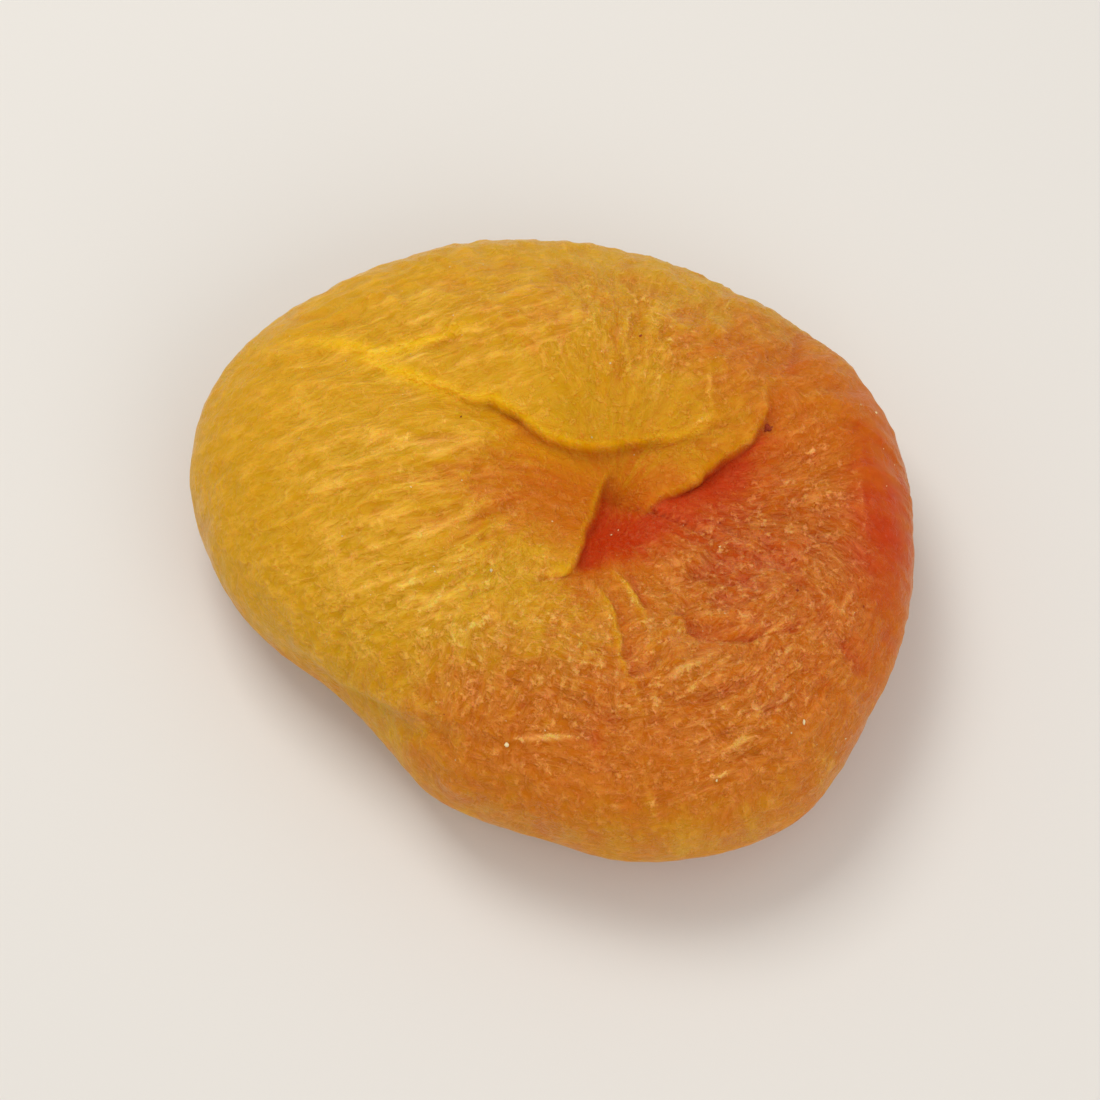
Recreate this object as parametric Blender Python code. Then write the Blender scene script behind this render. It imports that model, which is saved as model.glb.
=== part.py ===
"""A whole dried apricot, stoned and dried flat, lying on its underside. Metres, +Z up.

The origin is under the middle of the fruit, on the surface that it lies on. The fruit grew and dried as
one piece, so it is one solid: a flat pillow whose skin is drawn in round the hole in its upper face,
where the stone was pushed out, with the folds that run from there and long wrinkles all over.
"""

from typing import NamedTuple

import bmesh
import bpy
import numpy as np
from mathutils import Vector, noise

NAME = "dried_apricot"
MM = 0.001

# Size of the whole fruit
WIDTH = 42.4 * MM
DEPTH = 39.2 * MM
THICKNESS = 14.0 * MM

# The pillow before it is creased
RIM_HEIGHT = 6.0 * MM
FULLNESS = 2.5
REST_DEPTH = 0.35 * MM

# Quads along each side of the upper face, and down the rim
FACE_QUADS = 42
RIM_QUADS = 12
FACE_SHARE = 0.88

# The stone's hole in the upper face, which the wrinkles run out from
HOLE = (3.6 * MM, 1.2 * MM)

# Gathering of the mesh towards each fold, so that its steep wall has faces enough
GATHER = 0.6
GATHER_REACH = 2.2 * MM
WAVER = 0.35 * MM
WAVER_LENGTH = 3.0 * MM


class Bulge(NamedTuple):
    """A stretch of the outline that stands out or in, by a share of the half width. Angles are in degrees."""

    at: float
    spread: float
    by: float


class Swell(NamedTuple):
    """A rounded rise or hollow of one face, in millimetres. turn is in degrees."""

    x: float
    y: float
    long: float
    wide: float
    turn: float
    by: float


class Fold(NamedTuple):
    """A crease in the skin, in millimetres. Its lip is on the left of the path, seen from outside the fruit.

    edge is how softly the lip turns over the drop.
    """

    path: tuple
    depth: float
    roll: float
    edge: float
    lip_reach: float
    floor_reach: float
    fade_in: float
    fade_out: float
    droop: float
    underneath: bool = False


class Wrinkles(NamedTuple):
    """Long wrinkles, in millimetres. around and along are the spacings of the noise that they follow."""

    around: float
    along: float
    height: float
    seed: float


OUTLINE = (
    Bulge(223, 33, -0.215),
    Bulge(264, 16, -0.063),
    Bulge(157, 23, 0.092),
    Bulge(75, 32, -0.068),
    Bulge(308, 22, 0.065),
    Bulge(12, 18, 0.02),
    Bulge(45, 18, -0.022),
)

UPPER_SWELLS = (
    Swell(3.2, 0.6, 6.5, 5.0, 20, -2.2),
    Swell(3.7, -0.4, 2.0, 3.2, -10, -0.9),
    Swell(10.6, -1.8, 7.2, 4.0, 36, -1.9),
    Swell(1.0, 10.5, 10.0, 4.0, -8, 0.9),
    Swell(-8.0, 0.5, 7.5, 5.5, 10, 0.9),
    Swell(-1.0, -10.0, 7.0, 4.0, -15, 0.5),
    Swell(12.5, -11.0, 5.0, 4.0, 35, 0.5),
    Swell(-15.0, -12.0, 9.0, 3.5, -38, -0.25),
    Swell(18.0, 3.0, 2.6, 8.0, 8, 0.7),
)

UNDER_SWELLS = (
    Swell(-7.0, 5.0, 6.0, 4.0, 30, -0.7),
    Swell(9.0, 7.0, 6.0, 3.5, -25, -0.6),
    Swell(4.0, -10.0, 8.0, 3.5, 10, -0.7),
    Swell(13.0, -3.0, 3.5, 5.0, 0, -0.4),
)

FOLDS = (
    # The upper lobe's edge, which hangs over the hollow below it
    Fold(
        ((-13.6, 9.2), (-10.6, 8.3), (-7.6, 6.9), (-5.2, 5.9), (-3.9, 6.0), (-2.5, 5.3), (-0.8, 4.3),
         (1.2, 3.9), (3.6, 3.8), (6.0, 3.9), (8.2, 4.4), (10.4, 5.4), (12.2, 7.0)),
        depth=1.8, roll=0.4, edge=0.26, lip_reach=2.0, floor_reach=4.2, fade_in=0.55, fade_out=0.5, droop=0.2,
    ),
    # The second lip, right of the hole
    Fold(
        ((4.0, -1.4), (6.0, 0.3), (8.6, 2.2), (11.1, 4.0), (12.4, 5.4), (12.8, 7.0), (13.4, 8.6)),
        depth=1.9, roll=0.3, edge=0.26, lip_reach=1.6, floor_reach=4.8, fade_in=0.5, fade_out=0.5, droop=0.2,
    ),
    # The end of the left lobe, which stands over the hole
    Fold(
        ((-2.2, -5.9), (0.3, -5.1), (1.5, -2.7), (2.2, 0.0), (2.7, 1.9), (4.3, 3.5)),
        depth=1.5, roll=0.2, edge=0.26, lip_reach=2.2, floor_reach=3.8, fade_in=0.35, fade_out=0.25, droop=0.3,
    ),
    # The shallow fold between the left and the lower lobes
    Fold(
        ((-11.5, -5.0), (-6.8, -6.5), (-4.2, -6.6), (-1.2, -5.8), (1.2, -4.7)),
        depth=0.9, roll=0.1, edge=0.35, lip_reach=1.8, floor_reach=1.8, fade_in=0.6, fade_out=0.25, droop=0.8,
    ),
    # The crease that runs down from the hole
    Fold(
        ((5.8, -15.6), (4.8, -13.4), (3.9, -11.4), (3.4, -9.2), (2.9, -7.2), (2.2, -5.9), (0.9, -5.3)),
        depth=0.8, roll=0.15, edge=0.22, lip_reach=1.2, floor_reach=1.7, fade_in=0.7, fade_out=0.3, droop=0.4,
    ),
    # The short crease beside it
    Fold(
        ((5.2, -9.9), (5.0, -7.8), (4.2, -5.9), (2.7, -4.0)),
        depth=0.4, roll=0.05, edge=0.22, lip_reach=0.7, floor_reach=1.0, fade_in=0.5, fade_out=0.4, droop=0.3,
    ),
    # The lower edge of the hollow on the right
    Fold(
        ((15.2, -7.4), (13.6, -9.1), (11.7, -9.8), (9.8, -10.1), (8.4, -10.0), (7.6, -9.1), (6.8, -7.8),
         (5.6, -6.2)),
        depth=1.1, roll=0.15, edge=0.26, lip_reach=1.4, floor_reach=2.6, fade_in=0.45, fade_out=0.3, droop=0.4,
    ),
    # The valley between the upper lobe and the right side
    Fold(
        ((12.6, 5.6), (13.6, 8.8), (14.6, 12.0), (15.4, 13.9)),
        depth=0.7, roll=0.0, edge=0.35, lip_reach=1.4, floor_reach=1.6, fade_in=0.4, fade_out=0.4, droop=0.9,
    ),
    # The fork at the upper lobe's far end
    Fold(
        ((-11.8, 8.3), (-10.4, 8.2), (-9.3, 9.0), (-7.9, 9.5), (-5.6, 9.7), (-3.4, 10.1)),
        depth=0.45, roll=0.0, edge=0.25, lip_reach=0.9, floor_reach=1.1, fade_in=0.4, fade_out=0.6, droop=0.6,
    ),
    # The shoulder above the thin side at the lower left
    Fold(
        ((-17.2, -6.2), (-15.1, -8.4), (-13.2, -10.2), (-11.5, -11.6), (-9.5, -13.0), (-7.3, -14.1),
         (-4.4, -14.9), (-1.0, -15.6)),
        depth=0.8, roll=0.0, edge=0.45, lip_reach=1.2, floor_reach=3.4, fade_in=0.35, fade_out=0.5, droop=0.0,
    ),
    # The seam of the fruit, across the underside
    Fold(
        ((12.0, -15.5), (10.8, -9.0), (9.8, -2.0), (10.2, 5.0), (12.4, 11.5), (14.6, 15.0)),
        depth=0.7, roll=0.0, edge=0.4, lip_reach=1.5, floor_reach=1.7, fade_in=0.3, fade_out=0.3, droop=0.9,
        underneath=True,
    ),
    # A crease in the underside, towards the thin side
    Fold(
        ((-15.5, -7.0), (-11.5, -5.4), (-8.6, -1.6), (-8.2, 2.6)),
        depth=0.6, roll=0.1, edge=0.3, lip_reach=1.3, floor_reach=1.9, fade_in=0.4, fade_out=0.5, droop=0.5,
        underneath=True,
    ),
)

WRINKLES = (
    Wrinkles(3.0, 10.0, 0.11, 3.1),
    Wrinkles(1.9, 6.0, 0.08, 17.7),
)
DENTS = ((9.0 * MM, 0.3 * MM, 5.3), (4.0 * MM, 0.12 * MM, 11.9))
WRINKLE_RADIUS = 11.0 * MM

# How much the long wrinkles fade over the rim
RIM_CALM = 0.7


def clear_scene():
    """Removes what the scene holds."""
    for obj in list(bpy.data.objects):
        bpy.data.objects.remove(obj, do_unlink=True)


def smooth_step(x):
    """0 below 0, 1 above 1, and a smooth rise between."""
    x = np.clip(x, 0.0, 1.0)
    return x * x * (3.0 - 2.0 * x)


def noise_at(points, spacing, seed):
    """Noise from -1 to 1 at each point. spacing is the size of its bumps."""
    shift = Vector((seed, -seed, 0.5 * seed))
    return np.array([noise.noise(Vector(p) + shift) for p in points / spacing])


def box_mesh():
    """A bmesh box whose upper and lower faces have more quads than its sides have rows."""
    box = bmesh.new()
    bmesh.ops.create_cube(box, size=2.0)
    upright = [e for e in box.edges if abs(e.verts[0].co.z - e.verts[1].co.z) > 1.0]
    bmesh.ops.subdivide_edges(box, edges=upright, cuts=RIM_QUADS - 1, use_grid_fill=True)
    level = [e for e in box.edges if abs(e.verts[0].co.z - e.verts[1].co.z) < 1e-6]
    bmesh.ops.subdivide_edges(box, edges=level, cuts=FACE_QUADS - 1, use_grid_fill=True)
    return box


def coordinates(mesh):
    """The bmesh's vertices as an array."""
    return np.array([v.co for v in mesh.verts])


def place(mesh, points):
    """Moves the bmesh's vertices to the points, and works out their normals again."""
    for vert, point in zip(mesh.verts, points):
        vert.co = point
    mesh.normal_update()
    return np.array([v.normal for v in mesh.verts])


def outline(azimuth):
    """The outline's radius at each azimuth, as a share of the half width."""
    degrees = np.degrees(azimuth)
    radius = np.ones_like(degrees)
    for bulge in OUTLINE:
        away = (degrees - bulge.at + 180.0) % 360.0 - 180.0
        radius += bulge.by * np.exp(-((away / bulge.spread) ** 2))
    return radius


def pillow(box):
    """Points of the smooth pillow for the box's points, and how far out each is, from 0 to 1 at the rim."""
    x, y, z = box.T
    disc_x, disc_y = x * np.sqrt(1.0 - 0.5 * y * y), y * np.sqrt(1.0 - 0.5 * x * x)
    azimuth = np.arctan2(disc_y, disc_x)
    on_face = np.arcsin((FACE_SHARE * np.hypot(disc_x, disc_y)) ** (0.5 * FULLNESS))
    rim_start = np.arcsin(FACE_SHARE ** (0.5 * FULLNESS))
    on_rim = rim_start + (0.5 * np.pi - rim_start) * (1.0 - np.abs(z))
    from_top = np.where(np.abs(z) > 1.0 - 1e-6, on_face, on_rim)
    out = np.sin(from_top) ** (2.0 / FULLNESS)
    rise = np.cos(from_top) ** (2.0 / FULLNESS)
    radius = 0.5 * WIDTH * outline(azimuth) * out
    height = RIM_HEIGHT + rise * np.where(z > 0.0, THICKNESS - RIM_HEIGHT, -RIM_HEIGHT)
    return np.stack([radius * np.cos(azimuth), radius * np.sin(azimuth), height], axis=1), out


def on_skin(plan, underneath):
    """Lifts plan points in millimetres to the pillow's upper face, or lowers them to its underside."""
    x, y = np.array(plan).T * MM
    azimuth = np.arctan2(y, x)
    out = np.minimum(np.hypot(x, y) / (0.5 * WIDTH * outline(azimuth)), 0.995)
    tall = -RIM_HEIGHT if underneath else THICKNESS - RIM_HEIGHT
    height = RIM_HEIGHT + tall * (1.0 - out**FULLNESS) ** (1.0 / FULLNESS)
    return np.stack([x, y, height], axis=1)


def smooth_path(points, per_span=8):
    """A smooth curve through the points, as more points."""
    ends = np.vstack([2 * points[0] - points[1], points, 2 * points[-1] - points[-2]])
    t = np.linspace(0.0, 1.0, per_span, endpoint=False)[:, None]
    spans = []
    for a, b, c, d in zip(ends, ends[1:], ends[2:], ends[3:]):
        bend = (2 * a - 5 * b + 4 * c - d) * t**2 + (3 * b - a - 3 * c + d) * t**3
        spans.append(0.5 * (2 * b + (c - a) * t + bend))
    return np.vstack([*spans, points[-1:]])


class Beside(NamedTuple):
    """How each point lies to a path: how far to its left, how far in all, its share of the way, and left."""

    side: np.ndarray
    distance: np.ndarray
    share: np.ndarray
    left: np.ndarray


def beside(points, normals, path):
    """Finds how each point lies to the path."""
    steps = np.diff(path, axis=0)
    lengths = np.linalg.norm(steps, axis=1)
    run = np.concatenate([[0.0], np.cumsum(lengths)])
    bends = np.gradient(path, axis=0)
    nearest = np.full(len(points), np.inf)
    share = np.zeros(len(points))
    offset = np.zeros_like(points)
    tangent = np.zeros_like(points)
    for i, (start, step, length) in enumerate(zip(path, steps, lengths)):
        t = np.clip((points - start) @ step / length**2, 0.0, 1.0)
        away = points - start - t[:, None] * step
        distance = np.linalg.norm(away, axis=1)
        closer = distance < nearest
        nearest[closer] = distance[closer]
        share[closer] = (run[i] + t[closer] * length) / run[-1]
        offset[closer] = away[closer]
        tangent[closer] = bends[i] + t[closer, None] * (bends[i + 1] - bends[i])
    left = np.cross(normals, tangent)
    left /= np.linalg.norm(left, axis=1)[:, None] + 1e-12
    return Beside(np.sum(offset * left, axis=1), nearest, share, left)


def open_share(fold, share):
    """How open the fold is along its path, from 0 at its ends to 1."""
    return smooth_step(share / fold.fade_in) * smooth_step((1.0 - share) / fold.fade_out)


def gather(points, normals, fold):
    """Draws the mesh in along the surface towards the fold."""
    at = beside(points, normals, smooth_path(on_skin(fold.path, fold.underneath)))
    pull = GATHER * np.exp(-((at.distance / GATHER_REACH) ** 2)) * np.sqrt(open_share(fold, at.share))
    return points - at.left * (at.side * pull)[:, None]


def crease(points, normals, fold, waver):
    """What the fold moves each point by: down beside the lip, and the lip out over the drop."""
    at = beside(points, normals, smooth_path(on_skin(fold.path, fold.underneath)))
    edge = fold.edge * MM
    opened = open_share(fold, at.share)
    on_lip = 1.0 / (1.0 + np.exp(-(at.side + waver) / (0.5 * edge)))
    soft = np.sqrt(at.distance**2 + edge**2) - edge
    lip = np.exp(-((soft / (fold.lip_reach * MM)) ** 2))
    floor = np.exp(-soft / (fold.floor_reach * MM))
    drop = fold.depth * MM * opened * (on_lip * fold.droop * lip + (1.0 - on_lip) * floor)
    reach = fold.roll * MM * opened * on_lip * lip
    return -normals * drop[:, None] - at.left * reach[:, None]


def swelling(points, swells, facing):
    """How far the swells lift each point of the face that looks the way of facing."""
    lift = np.zeros(len(points))
    for swell in swells:
        turn = np.radians(swell.turn)
        x, y = points[:, 0] - swell.x * MM, points[:, 1] - swell.y * MM
        along = (x * np.cos(turn) + y * np.sin(turn)) / (swell.long * MM)
        across = (y * np.cos(turn) - x * np.sin(turn)) / (swell.wide * MM)
        lift += swell.by * MM * np.exp(-(along**2) - across**2)
    return lift * smooth_step(0.5 + facing)


def skin_map(points, out, under):
    """Where each point lies on the skin as it runs from the hole over the rim to the underside."""
    x, y = points[:, 0] - HOLE[0], points[:, 1] - HOLE[1]
    around = np.arctan2(y, x)
    down = np.hypot(x, y) + THICKNESS - points[:, 2] + under * (1.0 - out) * WIDTH
    return around, down


def wrinkle_height(around, down, wrinkles):
    """Rounded ridges that run out from the hole, of about the same spacing at any distance."""
    height = np.zeros(len(around))
    for doubling in (0.5, 1.0, 2.0):
        near = np.abs(np.log2(np.maximum(down, 1.0 * MM) / (WRINKLE_RADIUS * doubling)))
        share = np.clip(1.0 - near, 0.0, 1.0)
        ring = WRINKLE_RADIUS * doubling / (wrinkles.around * MM)
        turning = [ring * np.cos(around), ring * np.sin(around), down / (wrinkles.along * MM)]
        ridge = 1.0 - 2.0 * np.abs(noise_at(np.stack(turning, axis=1), 1.0, wrinkles.seed + doubling)) / 0.6
        height += share * ridge
    return wrinkles.height * MM * height


def sculpt(mesh):
    """Moves the box's vertices to the fruit's skin, step by step."""
    points, out = pillow(coordinates(mesh))
    normals = place(mesh, points)
    under = smooth_step(0.5 - normals[:, 2])
    for fold in FOLDS:
        points = gather(points, normals, fold)
    normals = place(mesh, points)
    waver = WAVER * noise_at(points, WAVER_LENGTH, 7.7)
    moves = sum(crease(points, normals, fold, waver) for fold in FOLDS)
    lift = swelling(points, UPPER_SWELLS, normals[:, 2]) + swelling(points, UNDER_SWELLS, -normals[:, 2])
    around, down = skin_map(points, out, under)
    creased = points + moves + normals * lift[:, None]
    normals = place(mesh, creased)
    calm = 1.0 - RIM_CALM * smooth_step((out - 0.8) / 0.15)
    height = calm * sum(wrinkle_height(around, down, wrinkles) for wrinkles in WRINKLES)
    height += sum(deep * noise_at(points, spacing, seed) for spacing, deep, seed in DENTS)
    return creased + normals * height[:, None]


def fit(points):
    """Brings the fruit to its real size over the origin, with the lowest skin pressed flat where it rests."""
    low, high = points.min(axis=0), points.max(axis=0)
    size = np.array([WIDTH, DEPTH, THICKNESS + REST_DEPTH])
    centred = (points - 0.5 * (low + high)) * size / (high - low)
    centred[:, 2] += 0.5 * THICKNESS - 0.5 * REST_DEPTH
    centred[:, 2] = np.maximum(centred[:, 2], 0.0)
    return centred


def flesh():
    """Orange, half clear, with a dull bloom on the skin."""
    material = bpy.data.materials.new("dried_apricot_flesh")
    material.use_nodes = True
    shader = material.node_tree.nodes["Principled BSDF"]
    shader.inputs["Base Color"].default_value = (0.62, 0.22, 0.025, 1.0)
    shader.inputs["Roughness"].default_value = 0.5
    shader.inputs["Metallic"].default_value = 0.0
    shader.inputs["Subsurface Weight"].default_value = 0.6
    shader.inputs["Subsurface Scale"].default_value = 3.0 * MM
    return material


def dried_apricot(collection):
    """The whole fruit, as one mesh object."""
    mesh = box_mesh()
    place(mesh, fit(sculpt(mesh)))
    bmesh.ops.triangulate(mesh, faces=mesh.faces)
    data = bpy.data.meshes.new(NAME)
    mesh.to_mesh(data)
    mesh.free()
    data.shade_smooth()
    data.materials.append(flesh())
    fruit = bpy.data.objects.new(NAME, data)
    collection.objects.link(fruit)
    return fruit


def main():
    clear_scene()
    collection = bpy.data.collections.new("Dried apricot")
    bpy.context.scene.collection.children.link(collection)
    dried_apricot(collection)


main()
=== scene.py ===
"""A whole dried apricot, as it looks: translucent orange flesh under a finely wrinkled skin.

Laid out as an add-on and run as a script. The fruit takes the place of the plain solid in the frame. It is
made the same way with many more faces, so its finest wrinkles are real shapes too. The specks that dried
onto it are pieces of their own; the pale ones stand partly for painted glints.
"""

import math
import random
from typing import NamedTuple

import bmesh
import bpy
import numpy as np
from mathutils import Matrix, Vector, noise
from mathutils.bvhtree import BVHTree


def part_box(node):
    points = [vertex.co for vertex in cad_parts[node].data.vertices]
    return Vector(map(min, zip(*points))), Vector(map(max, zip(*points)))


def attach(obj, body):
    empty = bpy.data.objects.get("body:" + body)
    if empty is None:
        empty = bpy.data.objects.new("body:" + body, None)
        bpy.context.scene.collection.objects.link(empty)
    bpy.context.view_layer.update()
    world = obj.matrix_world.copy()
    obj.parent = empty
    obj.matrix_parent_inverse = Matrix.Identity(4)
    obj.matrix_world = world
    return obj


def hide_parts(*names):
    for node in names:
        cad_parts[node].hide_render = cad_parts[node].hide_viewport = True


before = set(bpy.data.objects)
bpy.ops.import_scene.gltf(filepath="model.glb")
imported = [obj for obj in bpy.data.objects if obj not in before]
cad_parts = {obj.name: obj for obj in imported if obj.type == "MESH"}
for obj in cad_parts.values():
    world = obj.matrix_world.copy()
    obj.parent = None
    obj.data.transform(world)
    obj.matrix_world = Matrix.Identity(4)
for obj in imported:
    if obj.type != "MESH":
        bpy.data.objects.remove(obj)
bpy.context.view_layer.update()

bl_info = {
    "name": "Dried Apricot",
    "version": (1, 0, 0),
    "blender": (4, 5, 0),
    "location": "View3D > Sidebar > Apricot",
    "description": "Models a whole dried apricot, its skin and its stage",
    "category": "Object",
}

NODE = "dried_apricot"
BODY = "root"
MM = 0.001
LOWEST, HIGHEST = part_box(NODE)

# The stone's hole in the upper face, which the wrinkles run out from
HOLE = (3.6 * MM, 1.2 * MM)
HOLE_REACH = 8.0 * MM

# Gathering of the mesh towards each fold, so that its steep wall has faces enough
GATHER = 0.6
GATHER_REACH = 2.2 * MM

# How far a lip wavers off its path, the length of its waves, and their seed
WAVER = 0.35 * MM
WAVER_LENGTH = 3.0 * MM
WAVER_SEED = 7.7
FINE_WAVER = 0.14 * MM
FINE_WAVER_LENGTH = 1.1 * MM
FINE_WAVER_SEED = 9.1

# The fine bead along a thin lip, which catches the light
LIP_BEAD = 0.12 * MM
LIP_BEAD_WIDTH = 0.16 * MM
LIP_BEAD_REACH = 4.0 * LIP_BEAD_WIDTH

# How yellow a thin lip is painted on its bead, as a painted highlight, and more faintly behind it, as a
# painted glow
BEAD_HIGHLIGHT = 0.9
LIP_GLOW = 0.15
LIP_GLOW_REACH = 0.8 * MM

# A fold of this depth in millimetres, or deeper, makes a full hollow
FULL_HOLLOW = 1.0

# A difference in height on the box that counts as none, and what keeps a division off 0
FLAT = 1e-6
TINY = 1e-12

# The share of the way out to the outline that a fold's path may reach
OUTERMOST = 0.995


class Bulge(NamedTuple):
    """A stretch of the outline that stands out or in, by a share of the half width, at and over degrees."""

    at: float
    spread: float
    by: float


class Swell(NamedTuple):
    """A rounded patch of one face that rises, sinks or takes a tint, in millimetres. turn is in degrees."""

    x: float
    y: float
    long: float
    wide: float
    turn: float
    by: float


class Fold(NamedTuple):
    """A crease in the skin, in millimetres. Its lip is on the left of the path, seen from outside the fruit.

    edge is how softly the lip turns over the drop. thin is how yellow the lip is, where the light comes
    through it, as a painted glow with a painted highlight on its bead, and red is how much redder the flesh
    is on the floor beside it.
    """

    path: tuple
    depth: float
    roll: float
    edge: float
    lip_reach: float
    floor_reach: float
    fade_in: float
    fade_out: float
    droop: float
    thin: float = 0.0
    red: float = 0.0
    underneath: bool = False


class Wrinkles(NamedTuple):
    """Wrinkles of one size, in millimetres. around and along are the spacings of the noise they follow."""

    around: float
    along: float
    height: float
    seed: float


class Lamp(NamedTuple):
    """Where a soft square light stands, its size in metres and its colour."""

    place: tuple
    size: float
    colour: tuple


OUTLINE = (
    Bulge(223, 33, -0.215),
    Bulge(264, 16, -0.063),
    Bulge(157, 23, 0.092),
    Bulge(75, 32, -0.068),
    Bulge(308, 22, 0.065),
    Bulge(12, 18, 0.02),
    Bulge(45, 18, -0.022),
)

UPPER_SWELLS = (
    Swell(3.2, 0.6, 6.5, 5.0, 20, -2.2),
    Swell(3.7, -0.4, 2.0, 3.2, -10, -0.9),
    Swell(10.6, -1.8, 7.2, 4.0, 36, -1.9),
    Swell(1.0, 10.5, 10.0, 4.0, -8, 0.9),
    Swell(-8.0, 0.5, 7.5, 5.5, 10, 0.9),
    Swell(-1.0, -10.0, 7.0, 4.0, -15, 0.5),
    Swell(12.5, -11.0, 5.0, 4.0, 35, 0.5),
    Swell(-15.0, -12.0, 9.0, 3.5, -38, -0.25),
    Swell(18.0, 3.0, 2.6, 8.0, 8, 0.7),
)

UNDER_SWELLS = (
    Swell(-7.0, 5.0, 6.0, 4.0, 30, -0.7),
    Swell(9.0, 7.0, 6.0, 3.5, -25, -0.6),
    Swell(4.0, -10.0, 8.0, 3.5, 10, -0.7),
    Swell(13.0, -3.0, 3.5, 5.0, 0, -0.4),
)

FOLDS = (
    # The upper lobe's edge, which hangs over the hollow below it
    Fold(
        ((-13.6, 9.2), (-10.6, 8.3), (-7.6, 6.9), (-5.2, 5.9), (-3.9, 6.0), (-2.5, 5.3), (-0.8, 4.3),
         (1.2, 3.9), (3.6, 3.8), (6.0, 3.9), (8.2, 4.4), (10.4, 5.4), (12.2, 7.0)),
        depth=1.8, roll=0.4, edge=0.26, droop=0.2,
        lip_reach=2.0, floor_reach=4.2, fade_in=0.55, fade_out=0.5,
        thin=1.0, red=0.25,
    ),
    # The second lip, right of the hole
    Fold(
        ((4.0, -1.4), (6.0, 0.3), (8.6, 2.2), (11.1, 4.0), (12.4, 5.4), (12.8, 7.0), (13.4, 8.6)),
        depth=1.9, roll=0.3, edge=0.26, droop=0.2,
        lip_reach=1.6, floor_reach=4.8, fade_in=0.5, fade_out=0.5,
        thin=0.5, red=1.0,
    ),
    # The end of the left lobe, which stands over the hole
    Fold(
        ((-2.2, -5.9), (0.3, -5.1), (1.5, -2.7), (2.2, 0.0), (2.7, 1.9), (4.3, 3.5)),
        depth=1.5, roll=0.2, edge=0.26, droop=0.3,
        lip_reach=2.2, floor_reach=3.8, fade_in=0.35, fade_out=0.25,
        thin=0.45, red=0.6,
    ),
    # The shallow fold between the left and the lower lobes
    Fold(
        ((-11.5, -5.0), (-6.8, -6.5), (-4.2, -6.6), (-1.2, -5.8), (1.2, -4.7)),
        depth=0.9, roll=0.1, edge=0.35, droop=0.8,
        lip_reach=1.8, floor_reach=1.8, fade_in=0.6, fade_out=0.25,
    ),
    # The crease that runs down from the hole
    Fold(
        ((5.8, -15.6), (4.8, -13.4), (3.9, -11.4), (3.4, -9.2), (2.9, -7.2), (2.2, -5.9), (0.9, -5.3)),
        depth=0.8, roll=0.15, edge=0.22, droop=0.4,
        lip_reach=1.2, floor_reach=1.7, fade_in=0.7, fade_out=0.3,
        thin=0.38, red=0.35,
    ),
    # The short crease beside it
    Fold(
        ((5.2, -9.9), (5.0, -7.8), (4.2, -5.9), (2.7, -4.0)),
        depth=0.4, roll=0.05, edge=0.22, droop=0.3,
        lip_reach=0.7, floor_reach=1.0, fade_in=0.5, fade_out=0.4,
        thin=0.32, red=0.3,
    ),
    # The lower edge of the hollow on the right
    Fold(
        ((15.2, -7.4), (13.6, -9.1), (11.7, -9.8), (9.8, -10.1), (8.4, -10.0), (7.6, -9.1), (6.8, -7.8),
         (5.6, -6.2)),
        depth=1.1, roll=0.15, edge=0.26, droop=0.4,
        lip_reach=1.4, floor_reach=2.6, fade_in=0.45, fade_out=0.3,
        red=0.3,
    ),
    # The valley between the upper lobe and the right side
    Fold(
        ((12.6, 5.6), (13.6, 8.8), (14.6, 12.0), (15.4, 13.9)),
        depth=0.7, roll=0.0, edge=0.35, droop=0.9,
        lip_reach=1.4, floor_reach=1.6, fade_in=0.4, fade_out=0.4,
        red=0.2,
    ),
    # The fork at the upper lobe's far end
    Fold(
        ((-11.8, 8.3), (-10.4, 8.2), (-9.3, 9.0), (-7.9, 9.5), (-5.6, 9.7), (-3.4, 10.1)),
        depth=0.45, roll=0.0, edge=0.25, droop=0.6,
        lip_reach=0.9, floor_reach=1.1, fade_in=0.4, fade_out=0.6,
        thin=0.6,
    ),
    # The shoulder above the thin side at the lower left
    Fold(
        ((-17.2, -6.2), (-15.1, -8.4), (-13.2, -10.2), (-11.5, -11.6), (-9.5, -13.0), (-7.3, -14.1),
         (-4.4, -14.9), (-1.0, -15.6)),
        depth=0.8, roll=0.0, edge=0.45, droop=0.0,
        lip_reach=1.2, floor_reach=3.4, fade_in=0.35, fade_out=0.5,
    ),
    # The seam of the fruit, across the underside
    Fold(
        ((12.0, -15.5), (10.8, -9.0), (9.8, -2.0), (10.2, 5.0), (12.4, 11.5), (14.6, 15.0)),
        depth=0.7, roll=0.0, edge=0.4, droop=0.9,
        lip_reach=1.5, floor_reach=1.7, fade_in=0.3, fade_out=0.3,
        underneath=True,
    ),
    # A crease in the underside, towards the thin side
    Fold(
        ((-15.5, -7.0), (-11.5, -5.4), (-8.6, -1.6), (-8.2, 2.6)),
        depth=0.6, roll=0.1, edge=0.3, droop=0.5,
        lip_reach=1.3, floor_reach=1.9, fade_in=0.4, fade_out=0.5,
        underneath=True,
    ),
)

WRINKLES = (
    Wrinkles(3.0, 10.0, 0.11, 3.1),
    Wrinkles(1.9, 6.0, 0.08, 17.7),
)
FINE_WRINKLES = (
    Wrinkles(1.3, 3.6, 0.10, 29.3),
    Wrinkles(0.8, 1.8, 0.065, 41.9),
)
CROSS_WRINKLES = (
    Wrinkles(3.6, 1.4, 0.12, 61.3),
    Wrinkles(2.0, 0.85, 0.075, 73.9),
)

# Dents, as the size of the bumps, their height and their seed
DENTS = ((9.0 * MM, 0.3 * MM, 5.3), (4.0 * MM, 0.12 * MM, 11.9))
FINE_DENTS = ((1.7 * MM, 0.09 * MM, 23.1), (0.9 * MM, 0.05 * MM, 35.3))

# The distance from the hole where the wrinkles are spaced as they say
WRINKLE_RADIUS = 11.0 * MM

# The rings that the wrinkles are spaced in, as shares of that radius, and the least distance that counts
WRINKLE_RINGS = (0.5, 1.0, 2.0)
WRINKLE_NEAREST = 1.0 * MM

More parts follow.
